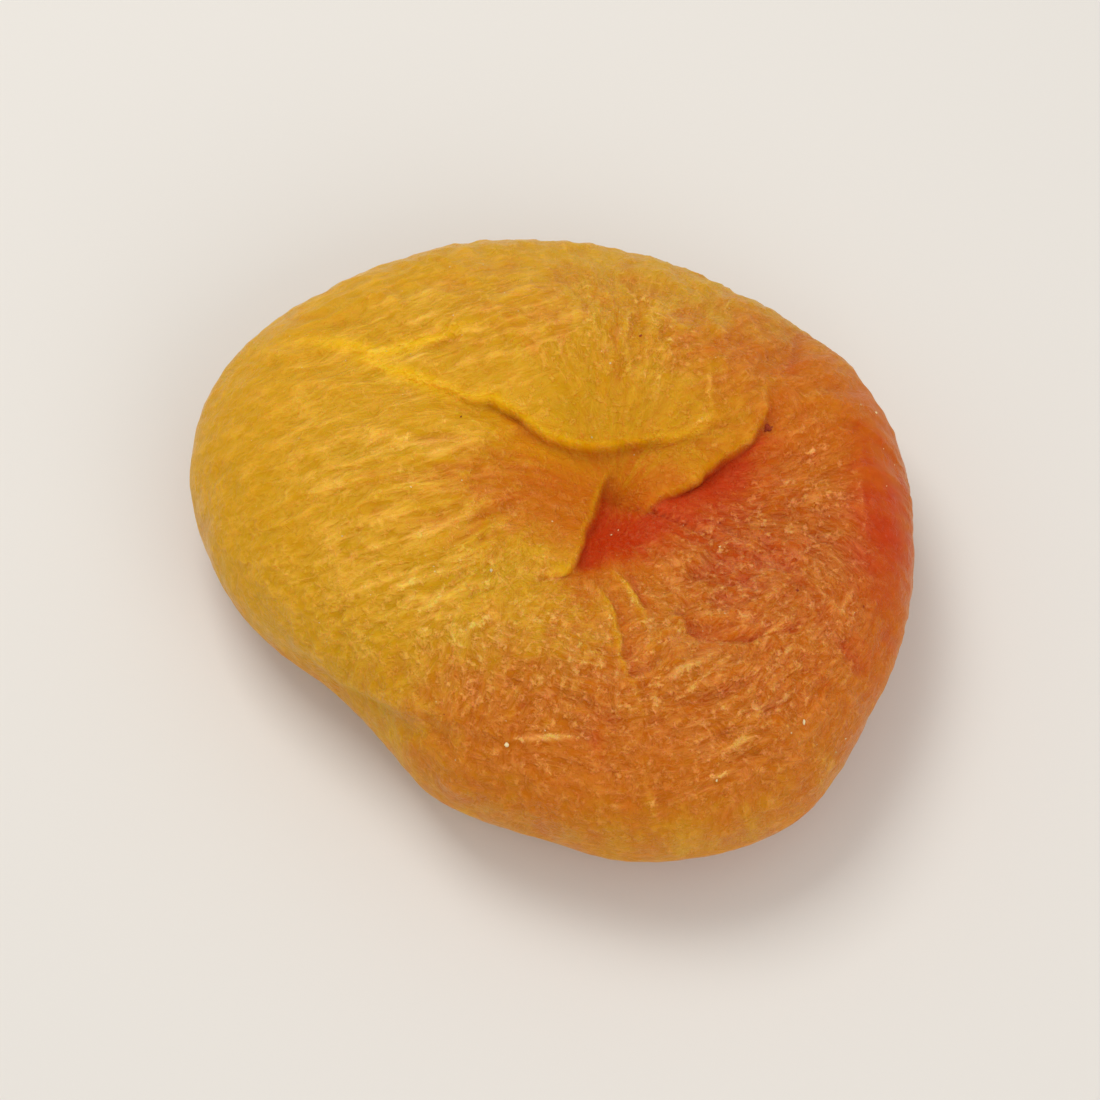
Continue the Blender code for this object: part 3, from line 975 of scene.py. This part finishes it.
class Nodes:
    """Short ways to build a material's or a group's nodes."""

    def __init__(self, tree):
        self.tree = tree

    def add(self, kind, inputs=None, **settings):
        """A node with its settings and inputs. An input is a value or another node's output."""
        made = self.tree.nodes.new(kind)
        for name, value in settings.items():
            setattr(made, name, value)
        for key, value in (inputs or {}).items():
            if isinstance(value, bpy.types.NodeSocket):
                self.tree.links.new(value, made.inputs[key])
            else:
                made.inputs[key].default_value = value
        return made

    def math(self, operation, first, second=0.0, clamp=False):
        """The output of a Math node."""
        made = self.add("ShaderNodeMath", {0: first, 1: second}, operation=operation, use_clamp=clamp)
        return made.outputs[0]

    def vector(self, operation, first, second=(0.0, 0.0, 0.0), **more):
        """The output of a Vector Math node."""
        made = self.add("ShaderNodeVectorMath", {0: first, 1: second, **more}, operation=operation)
        return made.outputs[0]

    def mix(self, share, first, second, blend="MIX"):
        """The output of a colour Mix node."""
        made = self.add("ShaderNodeMix", {0: share, 6: first, 7: second}, data_type="RGBA", blend_type=blend)
        return made.outputs[2]

    def between(self, value, low, high, to_low=0.0, to_high=1.0):
        """The value's place between low and high, clamped, as a number from to_low to to_high."""
        inputs = {0: value, 1: low, 2: high, 3: to_low, 4: to_high}
        return self.add("ShaderNodeMapRange", inputs, interpolation_type="SMOOTHSTEP").outputs[0]

    def attribute(self, name, output="Fac"):
        """A number kept on the mesh, or a vector with the output of that name."""
        return self.add("ShaderNodeAttribute", attribute_name=name).outputs[output]

    def noise(self, where, scale, detail=3.0, roughness=0.55, distortion=0.0):
        """Noise from 0 to 1."""
        inputs = {
            "Vector": where,
            "Scale": scale,
            "Detail": detail,
            "Roughness": roughness,
            "Distortion": distortion,
        }
        return self.add("ShaderNodeTexNoise", inputs).outputs[0]


def opaque(colour):
    """The colour with an alpha of 1."""
    return (*colour, 1.0)


def ridge_group():
    """A node group of fine ridges: the crests of a wandering noise, from 0 between them to 1."""
    group = bpy.data.node_groups.new("Ridges", "ShaderNodeTree")
    group.interface.new_socket("Vector", in_out="INPUT", socket_type="NodeSocketVector")
    for name, value in (("Scale", 1.0), ("Sharpness", 10.0)):
        group.interface.new_socket(name, in_out="INPUT", socket_type="NodeSocketFloat").default_value = value
    group.interface.new_socket("Ridge", in_out="OUTPUT", socket_type="NodeSocketFloat")
    nodes = Nodes(group)
    start = nodes.add("NodeGroupInput")
    where, scale = start.outputs["Vector"], start.outputs["Scale"]
    wave = nodes.noise(where, scale, roughness=0.6, distortion=0.5)
    away = nodes.math("ABSOLUTE", nodes.math("SUBTRACT", wave, 0.5))
    steep = nodes.math("MULTIPLY", away, start.outputs["Sharpness"])
    ridge = nodes.math("SUBTRACT", 1.0, steep, clamp=True)
    end = nodes.add("NodeGroupOutput")
    group.links.new(ridge, end.inputs["Ridge"])
    return group


def marks_place(nodes, here, flow, cross, level):
    """Where noise is read for marks that run out from the hole, or another way in places.

    They run round the fruit where cross is high, and slantwise across it where level is high.
    """
    away = nodes.add("ShaderNodeSeparateXYZ", {0: flow}).outputs["Z"]
    rings = nodes.math("DIVIDE", nodes.math("MAXIMUM", away, MARK_NEAREST), MARK_RING)
    doublings = nodes.math("ROUND", nodes.math("LOGARITHM", rings, 2.0))
    ring = nodes.math("MULTIPLY", nodes.math("POWER", 2.0, doublings), MARK_RING)
    ragged = nodes.noise(here, scale=1000.0, detail=2.0)
    turned = nodes.math("GREATER_THAN", ragged, nodes.between(cross, 0.0, 1.0, *CROSS_SHARES))
    around = nodes.between(turned, 0.0, 1.0, 1.0 / MARK_WIDTH, 1.0 / MARK_LENGTH)
    along = nodes.between(turned, 0.0, 1.0, 1.0 / MARK_LENGTH, 1.0 / MARK_WIDTH)
    wide = nodes.math("MULTIPLY", ring, around)
    scale = nodes.add("ShaderNodeCombineXYZ", {0: wide, 1: wide, 2: along}).outputs[0]
    outward = nodes.vector("MULTIPLY", flow, scale)
    inputs = {"Vector": here, "Angle": -LEVEL_TURN}
    slanted = nodes.add("ShaderNodeVectorRotate", inputs, rotation_type="Z_AXIS").outputs[0]
    thin = 1.0 / (LEVEL_WIDTH * MM)
    slanted = nodes.vector("MULTIPLY", slanted, (1.0 / (LEVEL_LENGTH * MM), thin, thin))
    patchy_level = nodes.math("ADD", level, nodes.noise(here, scale=300.0, detail=2.0))
    levelled = nodes.math("GREATER_THAN", patchy_level, 1.0)
    return nodes.mix(levelled, outward, slanted)


def flesh_colour(nodes, flow, fine_mottle, colours):
    """Honey to red by place, with streaks and mottles, painted shade in the furrows, and yellow along the
    thin lips with a painted highlight on their beads and a painted glow.
    """
    streaks = nodes.vector("MULTIPLY", flow, STREAK_STRETCH)
    streaks = nodes.noise(streaks, scale=1.0, roughness=0.6, distortion=0.3)
    mottle = nodes.math("SUBTRACT", streaks, 0.5)
    crest = nodes.attribute("crest")
    warmth = nodes.math("ADD", nodes.attribute("blush"), nodes.math("MULTIPLY", mottle, STREAK_WARMTH))
    warmth = nodes.math("ADD", warmth, nodes.math("MULTIPLY", fine_mottle, MOTTLE_WARMTH))
    # Painted shade: warmer and darker in the furrows, paler on the crests
    warmth = nodes.math("ADD", warmth, nodes.math("MULTIPLY", crest, CREST_SHADE))
    flesh = nodes.mix(nodes.between(warmth, *AMBER_SPAN), opaque(colours.honey), opaque(colours.amber))
    flesh = nodes.mix(nodes.between(warmth, *BLUSH_SPAN), flesh, opaque(colours.blush))
    # Yellow along the lips, with a painted highlight on their beads and a painted glow
    lip = nodes.math("MULTIPLY", nodes.attribute("lip"), LIP_COLOUR, clamp=True)
    return nodes.mix(lip, flesh, opaque(colours.lip))


def dry_marks(nodes, here, flow):
    """The marks of the dry skin, and the crumbs among them, each from 0 between them to 1."""
    level = nodes.attribute("level")
    marked = marks_place(nodes, here, flow, nodes.attribute("cross"), level)
    dashed = nodes.between(nodes.noise(marked, scale=0.5, roughness=0.6), *DASH_SPAN)
    dashed = nodes.math("MULTIPLY", dashed, nodes.between(level, *LEVEL_SPAN, *DASH_SHARES))
    crumbs = nodes.between(nodes.noise(here, scale=2300.0, roughness=0.65), *CRUMB_SPAN)
    crumbs = nodes.math("MULTIPLY", crumbs, nodes.between(level, *LEVEL_SPAN, *CRUMB_SHARES))
    net = nodes.add("ShaderNodeGroup", {"Vector": marked, **NET}, node_tree=ridge_group()).outputs["Ridge"]
    marks = nodes.math("ADD", nodes.math("MULTIPLY", net, NET_SHARE), nodes.math("ADD", dashed, crumbs))
    return marks, crumbs


def dryness(nodes, patchy):
    """How dry the skin is: a little everywhere, more where it has bloom, and less in the hollows."""
    uneven = nodes.math("ADD", nodes.math("MULTIPLY", patchy, BLOOM_PATCHY), BLOOM_EVEN)
    dry = nodes.math("ADD", nodes.math("MULTIPLY", nodes.attribute("bloom_and_glint"), uneven), DRY_LEAST)
    kept = nodes.between(nodes.attribute("hollow"), *HOLLOW_SPAN, 1.0, HOLLOW_DRY)
    return nodes.math("MULTIPLY", dry, kept)


def frost_and_glint_share(nodes, marks, crumbs, dry):
    """How frosted the skin is, with painted glints: on the marks where it is dry, and on the clearest
    ridges.
    """
    frost_and_glint = nodes.math("MULTIPLY", marks, nodes.between(dry, *FROST_GLINT_SPAN, 0.0, FROST_GLINT_MOST))
    ridge = nodes.math("MULTIPLY", nodes.attribute("ridge"), nodes.math("ADD", crumbs, RIDGE_EVEN))
    on_ridge = nodes.math("MULTIPLY", nodes.between(ridge, *RIDGE_SPAN), RIDGE_FROST_AND_GLINT)
    return nodes.math("ADD", frost_and_glint, on_ridge, clamp=True)


def skin_material(colours):
    """Translucent flesh, honey to red by place, under dry skin that is frosted on its marks and crumbs, with
    painted glints there and painted shade between the marks.
    """
    material = bpy.data.materials.new("apricot_skin")
    material.use_nodes = True
    tree = material.node_tree
    nodes = Nodes(tree)
    shader = tree.nodes["Principled BSDF"]
    here = nodes.add("ShaderNodeTexCoord").outputs["Object"]
    flow = nodes.attribute("flow", "Vector")
    patchy = nodes.between(nodes.noise(here, scale=380.0, roughness=0.6), *PATCH_SPAN)
    fine_mottle = nodes.math("SUBTRACT", nodes.noise(here, scale=900.0, detail=4.0, roughness=0.7), 0.5)

    marks, crumbs = dry_marks(nodes, here, flow)
    dry = dryness(nodes, patchy)
    flesh = flesh_colour(nodes, flow, fine_mottle, colours)
    # Painted shade between the marks, then frost with painted glints on them
    flesh = nodes.vector("SCALE", flesh, Scale=nodes.between(marks, *SHADE_SPAN, SHADE, 1.0))
    frost_and_glint = frost_and_glint_share(nodes, marks, crumbs, dry)
    tree.links.new(nodes.mix(frost_and_glint, flesh, opaque(colours.bloom_and_glint), "ADD"), shader.inputs["Base Color"])
    tree.links.new(nodes.between(patchy, 0.0, 1.0, *SKIN_ROUGHNESS), shader.inputs["Roughness"])

    relief = nodes.math("ADD", marks, fine_mottle)
    relief = nodes.math("MULTIPLY", relief, nodes.math("ADD", dry, RELIEF_LEAST))
    bump = nodes.add("ShaderNodeBump", {"Height": relief, "Strength": 1.0, "Distance": RELIEF})
    tree.links.new(bump.outputs["Normal"], shader.inputs["Normal"])
    for name, value in SKIN_FINISH.items():
        shader.inputs[name].default_value = value
    return material


def speck_material(name, colour, roughness):
    """A plain speck of something dry, a little uneven in colour."""
    material = bpy.data.materials.new(name)
    material.use_nodes = True
    nodes = Nodes(material.node_tree)
    shader = material.node_tree.nodes["Principled BSDF"]
    here = nodes.add("ShaderNodeTexCoord").outputs["Object"]
    uneven = nodes.between(nodes.noise(here, scale=2500.0), 0.3, 0.7)
    dark = tuple(SPECK_DARK * part for part in colour)
    mixed = nodes.mix(uneven, opaque(dark), opaque(colour))
    material.node_tree.links.new(mixed, shader.inputs["Base Color"])
    shader.inputs["Roughness"].default_value = roughness
    shader.inputs["Specular IOR Level"].default_value = SPECK_GLOSS
    return material


def skin_tree():
    """The finished skin, to set specks on. The fruit is made first."""
    fruit = bpy.data.objects.get("fruit")
    if fruit is None:
        raise RuntimeError("The fruit is made before the specks on it")
    corners = [v.co for v in fruit.data.vertices]
    return BVHTree.FromPolygons(corners, [tuple(p.vertices) for p in fruit.data.polygons])


def add_speck(mesh, skin, x, y, radius, draw):
    """A small flattened lump, half sunk in the upper skin below the plan point."""
    spot, normal, _, _ = skin.ray_cast(Vector((x, y, 1.0)), Vector((0.0, 0.0, -1.0)))
    if spot is None:
        return
    upright = normal.to_track_quat("Z", "Y").to_matrix().to_4x4()
    turn = upright @ Matrix.Rotation(draw.uniform(0.0, math.tau), 4, "Z")
    size = (radius * draw.uniform(*SPECK_LONG), radius * draw.uniform(*SPECK_WIDE), SPECK_TALL * radius, 1.0)
    matrix = Matrix.Translation(spot) @ turn @ Matrix.Diagonal(size)
    lump = bmesh.ops.create_icosphere(mesh, subdivisions=1, radius=1.0, matrix=matrix)
    for vert in lump["verts"]:
        knock = Vector((draw.uniform(-1, 1), draw.uniform(-1, 1), draw.uniform(-1, 1)))
        vert.co += SPECK_RAGGED * radius * knock


def scatter(mesh, skin, form, specks, draw):
    """Specks at random over the upper skin."""
    count, smallest, largest = specks
    for _ in range(count):
        x, y = draw.uniform(-0.5, 0.5) * form.width, draw.uniform(-0.5, 0.5) * form.depth
        add_speck(mesh, skin, x, y, draw.uniform(smallest, largest), draw)


class APRICOT_OT_fruit(bpy.types.Operator):
    """Model the fruit itself, in place of the frame's plain solid"""

    bl_idname = "apricot.fruit"
    bl_label = "Fruit"

    def execute(self, context):
        form = context.scene.apricot_form
        mesh = box_mesh(form.face_quads, form.rim_quads)
        points, facts = sculpt(mesh, form)
        place(mesh, fit(points, form))
        piece = new_piece("fruit", mesh, skin_material(context.scene.apricot_colours))
        for name, values in facts.items():
            numbers = values.astype(np.float32)
            if numbers.ndim == 1:
                piece.data.attributes.new(name, "FLOAT", "POINT").data.foreach_set("value", numbers)
            else:
                kept = piece.data.attributes.new(name, "FLOAT_VECTOR", "POINT")
                kept.data.foreach_set("vector", numbers.ravel())
        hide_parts(NODE)
        return {"FINISHED"}


class APRICOT_OT_flecks(bpy.types.Operator):
    """Set dark flecks of dried skin on the fruit, and one larger scab"""

    bl_idname = "apricot.flecks"
    bl_label = "Flecks"

    def execute(self, context):
        draw = random.Random(FLECK_SEED)
        skin = skin_tree()
        mesh = bmesh.new()
        scatter(mesh, skin, context.scene.apricot_form, FLECKS, draw)
        x, y, radius = (value * MM for value in SCAB)
        spread = SCAB_SPREAD * radius
        for _ in range(SCAB_LUMPS):
            at = x + draw.uniform(-spread, spread), y + draw.uniform(-spread, spread)
            add_speck(mesh, skin, *at, draw.uniform(*SCAB_LUMP_SIZES) * radius, draw)
        colour = context.scene.apricot_colours.fleck
        new_piece("flecks", mesh, speck_material("dark_fleck", colour, FLECK_ROUGHNESS))
        return {"FINISHED"}


class APRICOT_OT_glint_grains(bpy.types.Operator):
    """Set pale specks of dried sugar on the fruit, which also stand for painted glints"""

    bl_idname = "apricot.grains"
    bl_label = "Grains"

    def execute(self, context):
        draw = random.Random(GRAIN_SEED)
        skin = skin_tree()
        mesh = bmesh.new()
        scatter(mesh, skin, context.scene.apricot_form, GRAINS_AND_GLINTS, draw)
        # The brightest specks, partly painted glints
        for glint_crystal in GLINT_CRYSTALS:
            x, y, radius = (value * MM for value in glint_crystal)
            add_speck(mesh, skin, x, y, radius, draw)
        colour = context.scene.apricot_colours.grain_and_glint
        new_piece("grains", mesh, speck_material("sugar_glint_grain", colour, GRAIN_ROUGHNESS))
        return {"FINISHED"}


class APRICOT_OT_stage(bpy.types.Operator):
    """Set up the floor, the lights and the camera"""

    bl_idname = "apricot.stage"
    bl_label = "Stage"

    def execute(self, context):
        stage = context.scene.apricot_stage
        aim = Vector((0.0, 0.0, stage.aim_height))
        self.floor()
        self.light("key_light", KEY_LIGHT, stage.key_power, aim)
        self.light("fill_light", FILL_LIGHT, stage.fill_power, aim)
        self.sky(context.scene, stage.sky_strength)
        self.camera(context.scene, stage, aim)
        context.scene.view_settings.view_transform = "Standard"
        return {"FINISHED"}

    def floor(self):
        """A plain pale sheet under the fruit."""
        mesh = bmesh.new()
        bmesh.ops.create_grid(mesh, x_segments=1, y_segments=1, size=FLOOR_SIZE)
        data = bpy.data.meshes.new("floor")
        mesh.to_mesh(data)
        mesh.free()
        material = bpy.data.materials.new("pale_floor")
        material.use_nodes = True
        shader = material.node_tree.nodes["Principled BSDF"]
        shader.inputs["Base Color"].default_value = FLOOR_COLOUR
        shader.inputs["Roughness"].default_value = FLOOR_ROUGHNESS
        data.materials.append(material)
        floor = bpy.data.objects.new("floor", data)
        bpy.context.scene.collection.objects.link(floor)

    def light(self, name, lamp, power, aim):
        """A soft square light that faces the aim."""
        data = bpy.data.lights.new(name, "AREA")
        data.size = lamp.size
        data.energy = power
        data.color = lamp.colour
        light = bpy.data.objects.new(name, data)
        light.location = lamp.place
        light.rotation_euler = (aim - light.location).to_track_quat("-Z", "Y").to_euler()
        bpy.context.scene.collection.objects.link(light)

    def sky(self, scene, strength):
        """Even pale light from all round."""
        world = bpy.data.worlds.new("pale_sky")
        world.use_nodes = True
        background = world.node_tree.nodes["Background"]
        background.inputs["Color"].default_value = SKY_COLOUR
        background.inputs["Strength"].default_value = strength
        scene.world = world

    def camera(self, scene, stage, aim):
        """A long lens that looks down on the fruit along +Y."""
        data = bpy.data.cameras.new("camera")
        data.lens = stage.lens
        data.sensor_width = SENSOR_WIDTH
        data.clip_start = CLIP_START
        camera = bpy.data.objects.new("camera", data)
        back = Vector((0.0, -math.cos(stage.elevation), math.sin(stage.elevation)))
        upward = Vector((0.0, math.sin(stage.elevation), math.cos(stage.elevation)))
        away = stage.frame_width * stage.lens / SENSOR_WIDTH
        camera.location = aim - upward * stage.aim_drop + back * away
        camera.rotation_euler = (-back).to_track_quat("-Z", "Y").to_euler()
        scene.collection.objects.link(camera)
        scene.camera = camera


class APRICOT_PT_panel(bpy.types.Panel):
    """Sizes, colours and the steps that make the fruit"""

    bl_label = "Dried Apricot"
    bl_idname = "APRICOT_PT_panel"
    bl_space_type = "VIEW_3D"
    bl_region_type = "UI"
    bl_category = "Apricot"

    def draw(self, context):
        for name in GROUPS:
            group = getattr(context.scene, name)
            box = self.layout.box()
            for field in group.__annotations__:
                box.prop(group, field)
        for operator in OPERATORS:
            self.layout.operator(operator.bl_idname)


GROUPS = {"apricot_form": ApricotForm, "apricot_colours": ApricotColours, "apricot_stage": ApricotStage}
OPERATORS = (APRICOT_OT_stage, APRICOT_OT_fruit, APRICOT_OT_flecks, APRICOT_OT_glint_grains)
CLASSES = (*GROUPS.values(), *OPERATORS, APRICOT_PT_panel)


def register():
    """Adds the classes and their groups of values to Blender."""
    for cls in CLASSES:
        bpy.utils.register_class(cls)
    for name, group in GROUPS.items():
        setattr(bpy.types.Scene, name, bpy.props.PointerProperty(type=group))


def unregister():
    """Takes them out again."""
    for name in GROUPS:
        delattr(bpy.types.Scene, name)
    for cls in reversed(CLASSES):
        bpy.utils.unregister_class(cls)


def main():
    """Makes the stage, the fruit and the specks on it."""
    register()
    bpy.ops.apricot.stage()
    bpy.ops.apricot.fruit()
    bpy.ops.apricot.flecks()
    bpy.ops.apricot.grains()


if __name__ == "__main__":
    main()
